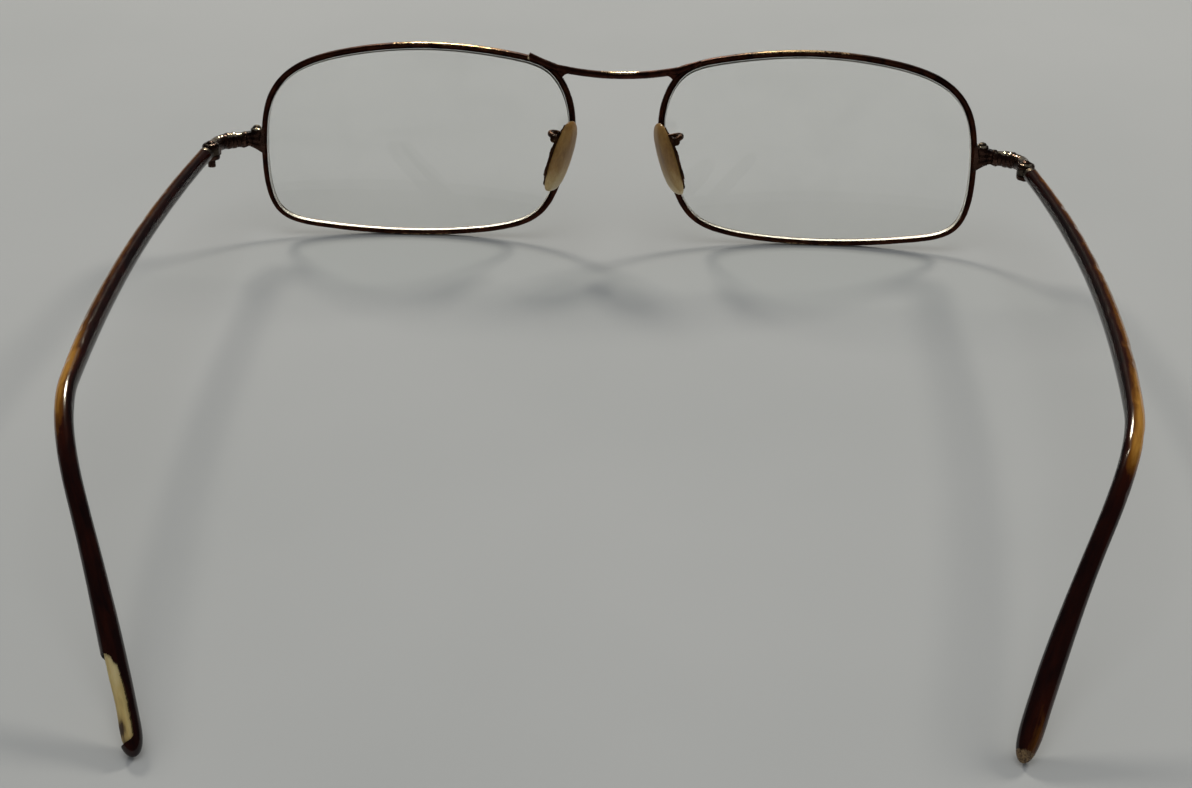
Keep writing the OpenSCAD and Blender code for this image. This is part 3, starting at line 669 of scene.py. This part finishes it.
def bridge_wear_and_glint(point):
    """Rubbed pale on top of the middle, and a bright painted glint where the blunt end was cut."""
    top = blend(0.05, 0.45, point.z - bridge_line(point.x).z)
    middle = 0.85 * hump(point.x, 0.4, 4.2) * top
    # painted glint: bright gold at the blunt cut end
    cut = 0.95 * blend(bridge_left_x + 0.45, bridge_left_x + 0.15, point.x)
    return max(middle, cut) + 0.12


paint(bridge, "wear_and_light", bridge_wear_and_glint)
hand_over(bridge, "right", "front", "bridge_wire", ["bridge"], [bridge_gilt])

# %% [markdown]
# ## End pieces, screws and hinges
# The end pieces are small castings: a flare soldered to the rim, a lug round the closing screw, an
# arm that turns back, and a barrel for the hinge. The CAD has all of that, but with crisp edges.
# A fine remesh of a merged copy, smoothed a little, gives the rounded look of old filed metal.

# %% Engraving on the end pieces
flare_len, arm_bend_r = 3.8, 4.2
arm_girth, arm_droop, engraving_depth = 0.26, 0.3, 0.03
arm_straight = hinge_x - rim_outer_x - arm_bend_r
flare_y = dish(lens_w / 2, 0)


def engraving(x, y, z):
    """From -1 in a cut line to 1 on a crest: a fan of lines on the flare, rings on the bend."""
    out = x - rim_outer_x
    if out < flare_len:
        fan = math.atan2(z, flare_len + 1.6 - out)
        share = blend(0.5, 0.9, out) * (1 - blend(flare_len - 0.6, flare_len, out))
        return share * math.cos(fan * 26) * blend(0.1, -0.4, y - flare_y)
    turn = math.atan2(out - arm_straight, y - flare_y + arm_bend_r)
    share = 0.8 * blend(0.8, 1.0, turn) * (1 - blend(1.35, 1.5, turn))
    return share * math.cos(turn * 30 + 1.2 * z)


# %% End pieces
def end_wear_and_highlight(point):
    """Bright on the lug's top, the arm's upper edge and the top of the barrel, partly where fingers
    rub and partly as a painted highlight where the lamp's glints fall.
    """
    spot = unstand @ point
    x = abs(spot.x) - rim_outer_x
    # painted highlights on the tops, where the lamp's glints fall, added to the rubbed places
    lug = 0.95 * hump(x, 1.2, 1.0) * blend(1.2, 1.9, spot.z)
    arm = 0.70 * hump(x, 5.0, 2.2) * blend(0.35, 0.95, spot.z)
    barrel = 0.60 * hump(x, 7.7, 1.6) * blend(0.3, 0.9, spot.z)
    return max(lug, arm, barrel) + 0.16 + 0.10 * engraving(abs(spot.x), spot.y, spot.z)


def fuller_arm(x, y):
    """How much of the arm's extra girth a place takes: all of it between the flare and the hinge."""
    out = x - rim_outer_x
    past_flare = blend(flare_len - 1.4, flare_len + 0.2, out)
    return past_flare * blend(-hinge_back + 2.0, -hinge_back + 3.2, y)


downward = stand.to_3x3() @ Vector((0, 0, -1))
for side in SIDES:
    end = worn_copy(side + "_endpiece", side + "_endpiece_worn", voxel=0.065, smoothing=7, keep=0.7)
    normals = [v.normal.copy() for v in end.data.vertices]
    paint(end, "wear_and_light", end_wear_and_highlight)
    for vertex, normal in zip(end.data.vertices, normals):
        spot = unstand @ vertex.co
        x, y, z = abs(spot.x), spot.y, spot.z
        share = fuller_arm(x, y)
        grown = arm_girth * share + engraving_depth * engraving(x, y, z)
        vertex.co += grown * normal + arm_droop * share * downward
    shrink(end)
    dress(end, "front", "end_piece", [side + "_endpiece"], [end_gilt])

# %% Screws, temple butts, pad arms, plates and pins
def even_wear(amount):
    return lambda point: amount + 0.25 * noise.noise(point * 0.9)


small_metal = [
    # node, body, slot, voxel, share of faces kept, wear, finish
    ("rim_screw", "front", "screw", 0.05, 0.5, 0.55, screw_steel),
    ("hinge_screw", "front", "screw", 0.05, 0.5, 0.20, end_gilt),
    ("temple_butt", "{side}_temple", "temple_metal", 0.05, 0.5, 0.45, screw_steel),
    ("pad_arm", "front", "pad_metal", 0.05, 0.6, 0.38, pad_gilt),
    ("pad_pin", "front", "pad_metal", 0.04, 0.5, 0.60, pad_gilt),
    ("pad_plate", "{side}_pad", "pad_metal", 0.07, 0.6, 0.22, pad_gilt),
]
for side in SIDES:
    for node, body, slot, voxel, keep, wear_and_light, finish in small_metal:
        small = worn_copy(f"{side}_{node}", f"{side}_{node}_worn", voxel, smoothing=3, keep=keep)
        paint(small, "wear_and_light", even_wear(wear_and_light))
        shrink(small)
        dress(small, body.format(side=side), slot, [f"{side}_{node}"], [finish])

# %% [markdown]
# ## Nose pads
# Each pad is a pebble of yellowed celluloid: domed towards the nose, flat towards its metal plate
# and rounded all round. The sheet runs from the middle of the dome over the edge to the middle of
# the flat side. It is paler and clearer towards the foot, so a value is painted along its length.

# %% Pad shape and place
pad_out = nose_gap / 2 + 0.9
pad_place = (
    Matrix.Translation((pad_out + pad_t / 2, dish(lens_w / 2, 0) - pad_back, 0))
    @ Matrix.Rotation(math.radians(-pad_flare), 4, "Y")
    @ Matrix.Rotation(math.radians(pad_splay), 4, "Z")
)
DOME_SHARE = 0.72           # of the sheet's rows, the rest closes the flat side
SLIMMER, TOP_TAPER = 0.90, 0.12   # the worn pad's width against the new one's, and at its top


def pad_point(u, v):
    angle = 2 * math.pi * u
    c, s = math.cos(angle), math.sin(angle)
    long = pad_len / 2 * math.copysign(abs(s) ** 0.8, s)
    wide = pad_w / 2 * (SLIMMER - TOP_TAPER * blend(0.0, pad_len / 2, long))
    oval = Vector((0, wide * math.copysign(abs(c) ** 0.65, c), long))
    if v < DOME_SHARE:
        turn = v / DOME_SHARE * math.pi / 2
        share, height = math.sin(turn) ** 0.8, -pad_t * math.cos(turn) ** 0.75
    else:
        share, height = 1 - (v - DOME_SHARE) / (1 - DOME_SHARE), 0.0
    wavy = 1 + 0.012 * noise.noise(Vector((3 * c, 3 * s, 0)))
    return oval * share * wavy + Vector((height + 0.02, 0, 0))


for side in SIDES:
    pad = rolled_sheet(side + "_pad_pebble", around=64, along=50, place=pad_point)
    add_modifier(pad, "SMOOTH", factor=0.4, iterations=3)
    shift = Vector((9 if side == "left" else 0, 0, 0))   # so that the two pads are not alike
    paint(pad, "straight", lambda p: p + shift)
    paint(pad, "amber", lambda p: 0.46 * blend(0.5, -6.2, p.z) - 0.10)
    for vertex in pad.data.vertices:
        vertex.co = pad_place @ vertex.co
    hand_over(pad, side, side + "_pad", "pad_celluloid", [side + "_nose_pad"], [pad_celluloid])

# %% [markdown]
# ## Temples
# A temple is modelled straight, where its length, chips and break are simple to place, and bent
# afterwards, as the maker bent it over a form. The bend follows the CAD's path: a gently bowed
# shaft, a turn down and in at the ear, and a hook that runs out a little.

# %% The temple's path
FINE_STEP, SPARE_STEPS = 0.25, 8   # the path runs a little past the tip, so that it can be read there


def ramp_share(s, start, length):
    return min(1.0, max(0.0, (s - start) / length))


def directions(side, s):
    """The temple's heading and slope at s millimetres from the hinge, as forward, side and up."""
    start, bow, inward, down, out = temple_turns[side]
    bend = ramp_share(s, shaft_len, ear_bend_len)
    heading = math.radians(start - bow * ramp_share(s, 0, shaft_len) - inward * bend
                           + out * ramp_share(s, shaft_len + ear_bend_len, hook_len[side]))
    slope = math.radians(-temple_drop - down * bend)
    ahead = Vector((math.sin(heading) * math.cos(slope), -math.cos(heading) * math.cos(slope),
                    math.sin(slope)))
    across = Vector((math.cos(heading), math.sin(heading), 0))
    return ahead, across, ahead.cross(across)


def temple_len(side):
    return shaft_len + ear_bend_len + hook_len[side]


paths = {}
for side in SIDES:
    spot = Vector((hinge_x, -hinge_back, 0))
    paths[side] = [spot.copy()]
    for k in range(round(temple_len(side) / FINE_STEP) + SPARE_STEPS):
        spot += FINE_STEP * directions(side, (k + 0.5) * FINE_STEP)[0]
        paths[side].append(spot.copy())
    print(side, "tip at", paths[side][round(temple_len(side) / FINE_STEP)])


def bend(piece, side):
    for vertex in piece.data.vertices:
        s, out, up = vertex.co
        k = min(len(paths[side]) - 2, max(0, int(s / FINE_STEP)))
        centre = paths[side][k].lerp(paths[side][k + 1], s / FINE_STEP - k)
        ahead, across, above = directions(side, s)
        vertex.co = centre + out * across + up * above


# %% Sizes along the covering
tip_taper = {"left": 4.6, "right": 7.5}   # length over which each tip has worn thin
tip_blunt = {"left": 3.2, "right": 4.2}   # the larger, the longer a tip keeps its girth
TIP_ROUND, TIP_FINE = 1.5, 18             # rounded end, and the stretch that needs close rows


def cover_radius(side, s):
    end, ear = temple_len(side), shaft_len + ear_bend_len
    full = lookup(s, [(0, 1.2), (shaft_len * 0.35, 1.3), (shaft_len * 0.8, 1.4),
                      (ear - ear_bend_len * 0.3, 1.2), (ear, 1.2), (end - 9, 1.5), (end, 1.5)])
    worn = min(1.0, max(0.0, (s - end + tip_taper[side]) / tip_taper[side]))
    return full * math.sqrt(max(0.0, 1 - worn ** tip_blunt[side]))


def spread(start, stop, step):
    count = max(1, round((stop - start) / step))
    return [start + (stop - start) * k / count for k in range(count)]


def cover_rows(side):
    end, ear = temple_len(side), shaft_len + ear_bend_len
    fine = 0.12 if side == "left" else 0.3
    return (spread(butt_len, shaft_len - 4, 0.8) + spread(shaft_len - 4, ear, 0.35)
            + spread(ear, end - TIP_FINE, 0.5) + spread(end - TIP_FINE, end - TIP_ROUND, fine)
            + [end - TIP_ROUND + TIP_ROUND * math.sin(math.radians(a)) for a in range(0, 91, 5)])


# %% Chips, dents and the broken tip
def chips(count, side):
    """Small bites, mostly on the outward and upper side: place, angle, size and depth."""
    made = []
    for _ in range(count):
        made.append((random.uniform(6, temple_len(side) - 20), random.gauss(0.5, 0.9),
                     random.uniform(0.25, 0.6), random.uniform(0.05, 0.14)))
    return made


temple_chips = {side: chips(26, side) for side in SIDES}
print("chips on each temple:", {side: len(made) for side, made in temple_chips.items()})
# the tear's edge on the left tip: distance before the end, and how far out the covering reaches
TEAR = [
    (-13.3, 1.6), (-12.8, 1.04), (-12.3, 0.59), (-11.45, 0.38), (-11.1, 0.0), (-9.5, -0.17),
    (-8.2, -0.30), (-7.0, -0.36), (-5.7, -0.32), (-3.8, -0.34), (-2.2, -0.25), (-1.8, 0.2),
    (-1.4, 1.6),
]
UNTORN = 9.0   # further out than any covering, so nothing is missing there


def tear_reach(s, edge):
    """How far outward the covering still reaches at s, along its upper or its lower edge."""
    back = s - temple_len("left")
    if not TEAR[0][0] < back < TEAR[-1][0]:
        return UNTORN
    for (a, reach_a), (b, reach_b) in zip(TEAR, TEAR[1:]):
        if back <= b:
            reach = reach_a + (reach_b - reach_a) * (back - a) / (b - a)
            break
    coarse = 0.14 * noise.noise(Vector((s * 1.9, 4.0 * edge, 0)))
    fine = 0.10 * noise.noise(Vector((s * 6.0, 7.0 * edge, 3)))
    return reach + (coarse + fine)


def cover_point(side, rows, u, v):
    s = rows[round(v * (len(rows) - 1))]
    radius = cover_radius(side, s)
    gaps = [0.0, 0.0]
    if side == "left" and radius > 0.05:
        gaps = [math.acos(max(-1.0, min(1.0, tear_reach(s, edge) / radius))) for edge in (1, 2)]
    angle = gaps[0] + u * (2 * math.pi - gaps[0] - gaps[1])
    radius *= 1 + 0.012 * noise.noise(Vector((s * 0.22, SIDES[side], angle * 0.3)))
    facing = (angle + math.pi) % (2 * math.pi) - math.pi
    for place, turn, size, depth in temple_chips[side]:
        away = math.hypot((s - place) / 1.8, (facing - turn) * radius)
        if away < 2.5 * size and radius > 0.6:
            radius -= depth * math.exp(-((away / size) ** 2))
    return Vector((s, radius * math.cos(angle), radius * math.sin(angle)))


# %% Colour along the covering
# painted light: where the golden glow painted on each ear bend peaks
glow_past = {"left": -2, "right": 4}   # where each ear bend is most golden, past the shaft's end


def cover_painted_light(side):
    """Painted light: the celluloid is painted golden on its outward and upper side, where light falls,
    most of all at the ear bend and, on the right, near the tip.
    """
    end = temple_len(side)

    def rule(point):
        s, out, up = point
        radius = max(0.3, cover_radius(side, min(s, end - 0.6)))
        ear = hump(s, shaft_len + glow_past[side], 9.5 if side == "left" else 12)
        # painted light on the outward and upper side, where the light falls
        outward = blend(-0.35 - 0.35 * ear, 1.0 - 0.15 * ear, (out + 0.30 * up) / radius)
        hook = blend(shaft_len + 6, shaft_len + 18, s)
        tip = blend(end - 14, end - 2, s) * (0.34 if side == "right" else 0.05)
        shaft = 0.70 + 0.30 * ear - 0.62 * hook + tip
        return 0.05 + shaft * outward
    return rule


def cover_wear_and_light(side):
    """Dull and pale at the very end, and pale speckle along the outermost ridge near the hinge,
    painted as light that falls there.
    """
    end = temple_len(side)

    def rule(point):
        s, out = point.x, point.y
        tip = (1.0 if side == "right" else 0.2) * blend(end - 1.9, end - 1.0, s)
        # painted light: pale speckle on the outward ridge near the hinge
        ridge = 0.18 * blend(0.7, 1.2, out) * (1 - blend(40, 70, s))
        return max(tip, ridge)
    return rule


# %% Coverings
for side in SIDES:
    rows = cover_rows(side)
    cover = rolled_sheet(side + "_temple_covering", around=56, along=len(rows) - 1,
                         place=lambda u, v: cover_point(side, rows, u, v))
    add_modifier(cover, "SOLIDIFY", thickness=skin_t, offset=-1.0, use_even_offset=True,
                 material_offset_rim=1)
    pick(cover)
    bpy.ops.object.shade_smooth_by_angle(angle=math.radians(40))
    shift = Vector((0, 20 if side == "left" else 0, 0))   # so that the two temples are not alike
    paint(cover, "straight", lambda p: p + shift)
    # painted light on the covering's outward side and ear bend
    paint(cover, "amber", cover_painted_light(side))
    paint(cover, "wear_and_light", cover_wear_and_light(side))
    bend(cover, side)
    finishes = [face.material_index for face in cover.data.polygons]
    hand_over(cover, side, side + "_temple", "tortoise_cover", [side + "_temple_cover"],
              [tortoise_cover, broken_edge])
    for face, index in zip(cover.data.polygons, finishes):
        face.material_index = index

# %% [markdown]
# The pale layer under the covering shows at the left tip, where the skin has split away. It is dry
# and slightly shrunken, with grooves along it, so its radius is roughened where it is bare. The
# right tip has the same layer, still sealed under its skin.

# %% Pale layers of the tips
PALE_CUT, PALE_ROUND = 0.7, 1.0   # how far it stops before the tip, and its rounded end
PALE_FULL, PALE_ROOM = 1.12, 0.03   # its full radius, and the gap to the skin over it


def liner_rows(side):
    end = temple_len(side) - PALE_CUT
    return spread(temple_len(side) - tip_liner_len, end - PALE_ROUND, 0.2) + [
        end - PALE_ROUND + PALE_ROUND * math.sin(math.radians(a)) for a in range(0, 91, 10)
    ]


def liner_point(side, rows, u, v):
    s = rows[round(v * (len(rows) - 1))]
    angle = 2 * math.pi * u
    back = s - temple_len(side)
    radius = min(cover_radius(side, s) - skin_t - PALE_ROOM, PALE_FULL)
    rounding = (back + PALE_CUT + PALE_ROUND) / PALE_ROUND
    if rounding > 0:
        radius *= math.sqrt(max(0.0, 1 - rounding**2))
    bare = blend(-14.5, -12.5, back) if side == "left" else 0.0
    waist = 0.15 * hump(back, -6.5, 3.2)
    grooves = noise.noise(Vector((s * 0.25, 3.2 * math.cos(angle), 3.2 * math.sin(angle))))
    pits = noise.noise(Vector((s * 1.6, 5 * math.cos(angle), 5 * math.sin(angle))))
    radius += bare * (0.05 * grooves + 0.03 * pits + 0.06 - waist) * min(1.0, radius)
    return Vector((s, radius * math.cos(angle), radius * math.sin(angle)))


def liner_amber(side):
    """Darker at the very end, and browner on the outward side about three millimetres before it."""
    def rule(point):
        back = point.x - temple_len(side)
        outward_brown = 0.5 * hump(back, -3.4, 1.3) * blend(0.0, 0.8, point.y)
        return 0.12 * hump(back, -12, 4) + 0.10 - outward_brown - 0.35 * blend(-2.4, -1.4, back)
    return rule


for side in SIDES:
    rows = liner_rows(side)
    liner = rolled_sheet(side + "_tip_pale", around=48, along=len(rows) - 1,
                         place=lambda u, v: liner_point(side, rows, u, v))
    paint(liner, "straight", lambda p: p)
    paint(liner, "amber", liner_amber(side))
    bend(liner, side)
    hand_over(liner, side, side + "_temple", "pale_layer", [side + "_tip_liner"], [pale_layer])

# %% [markdown]
# The brass core wires are sealed inside the temples and keep their CAD shapes. They only need
# their finish, a drawn wire dulled by its age, with no rubbed places.

# %% Finish of the hidden core wires
hidden_brass = gilt("hidden_brass", (0.10, 0.06, 0.02), (0.28, 0.18, 0.07), (0.62, 0.46, 0.20), 0.6)
for side in SIDES:
    sealed = frame["nodes"][side + "_temple_core"]
    sealed.data.materials.clear()
    sealed.data.materials.append(hidden_brass)
    print(sealed.name, "finished with", hidden_brass.name)

# %% [markdown]
# ## Floor, light and camera
# The pair stands on a plain pale table. Two soft lamps beyond the front and above it, one to each
# side, throw its shadows back and across each other, and a wide one overhead softens them. A small
# lamp that only polished surfaces show puts one warm glint on each ear bend. A dim, even world
# fills in.

# %% Floor
clear_selection()
bpy.ops.mesh.primitive_plane_add(size=6)
floor = bpy.context.object
floor.name = "floor"
table_top, tree, shader = new_finish("table_top")
place = add_node(tree, "ShaderNodeTexCoord").outputs["Object"]
paper = [(0.3, (0.415, 0.425, 0.420)), (0.7, (0.440, 0.448, 0.443))]
tree.links.new(ramp(tree, grain(tree, place, 14, 3), paper), shader.inputs["Base Color"])
shader.inputs["Roughness"].default_value = 0.6
shader.inputs["Specular IOR Level"].default_value = 0.0
floor.data.materials.append(table_top)
print("floor finish:", table_top.name)

# %% World and lamps
SKY_FILL, SKY_MIRRORED = 0.30, 0.06   # strength on matt surfaces, and as metal reflects it
world = bpy.data.worlds.new("studio")
bpy.context.scene.world = world
world.use_nodes = True
sky = world.node_tree.nodes["Background"]
sky.inputs["Color"].default_value = (0.95, 0.97, 1.0, 1)
mirrored = add_node(world.node_tree, "ShaderNodeLightPath").outputs["Is Glossy Ray"]
dimmed = sums(world.node_tree, "MULTIPLY", mirrored, SKY_FILL - SKY_MIRRORED)
world.node_tree.links.new(sums(world.node_tree, "SUBTRACT", SKY_FILL, dimmed), sky.inputs["Strength"])


def lamp(name, direction, distance, size, watts, colour, lighting=True, mirrored=False):
    """A round soft lamp in a direction from the glasses, facing them. It lights matt surfaces,
    or shows as a glint on polished ones, or does both."""
    toward = Vector(direction).normalized()
    data = bpy.data.lights.new(name, "AREA")
    data.shape = "DISK"
    data.size, data.energy, data.color = size, watts, colour
    made = bpy.data.objects.new(name, data)
    made.location = toward * distance
    made.rotation_euler = toward.to_track_quat("Z", "Y").to_euler()
    made.visible_transmission = False
    made.visible_diffuse, made.visible_glossy = lighting, mirrored
    bpy.context.collection.objects.link(made)
    print(f"{name}: {watts} W from {distance} m")


FRONT_COLOUR, CEILING_COLOUR = (1.0, 0.95, 0.86), (0.97, 0.985, 1.0)
GLINT_COLOUR = (1.0, 0.91, 0.72)
lamp("front_left_lamp", (-0.42, 0.66, 0.62), distance=1.1, size=0.22, watts=4.2,
     colour=FRONT_COLOUR)
lamp("front_right_lamp", (0.55, 0.58, 0.60), distance=1.1, size=0.22, watts=4.2,
     colour=FRONT_COLOUR)
lamp("ceiling_lamp", (0.0, -0.25, 0.95), distance=1.2, size=0.9, watts=3.0,
     colour=CEILING_COLOUR)
lamp("glint_lamp", (-0.12, 0.73, 0.62), distance=1.1, size=0.2, watts=9.0,
     colour=GLINT_COLOUR, lighting=False, mirrored=True)

# %% Camera
IMAGE_WIDTH = 1192
FOCAL_SHARE = 2036.0 / IMAGE_WIDTH   # the focal length as a share of the image's width
camera_data = bpy.data.cameras.new("camera")
camera_data.sensor_width = 36.0
camera_data.lens = FOCAL_SHARE * camera_data.sensor_width
camera_data.clip_start = 0.01
camera = bpy.data.objects.new("camera", camera_data)
pitch, yaw, roll = (math.radians(a) for a in (31.17, 3.16, 0.1))
camera.matrix_world = (
    Matrix.Translation(Vector((12.87, -249.5, 159.8)) * MM)
    @ Matrix.Rotation(yaw, 4, "Z")
    @ Matrix.Rotation(math.pi / 2 - pitch, 4, "X")
    @ Matrix.Rotation(roll, 4, "Z")
)
bpy.context.collection.objects.link(camera)
bpy.context.scene.camera = camera
bpy.context.scene.view_settings.view_transform = "Standard"
print(f"camera {camera_data.lens:.1f} mm lens at", camera.location)
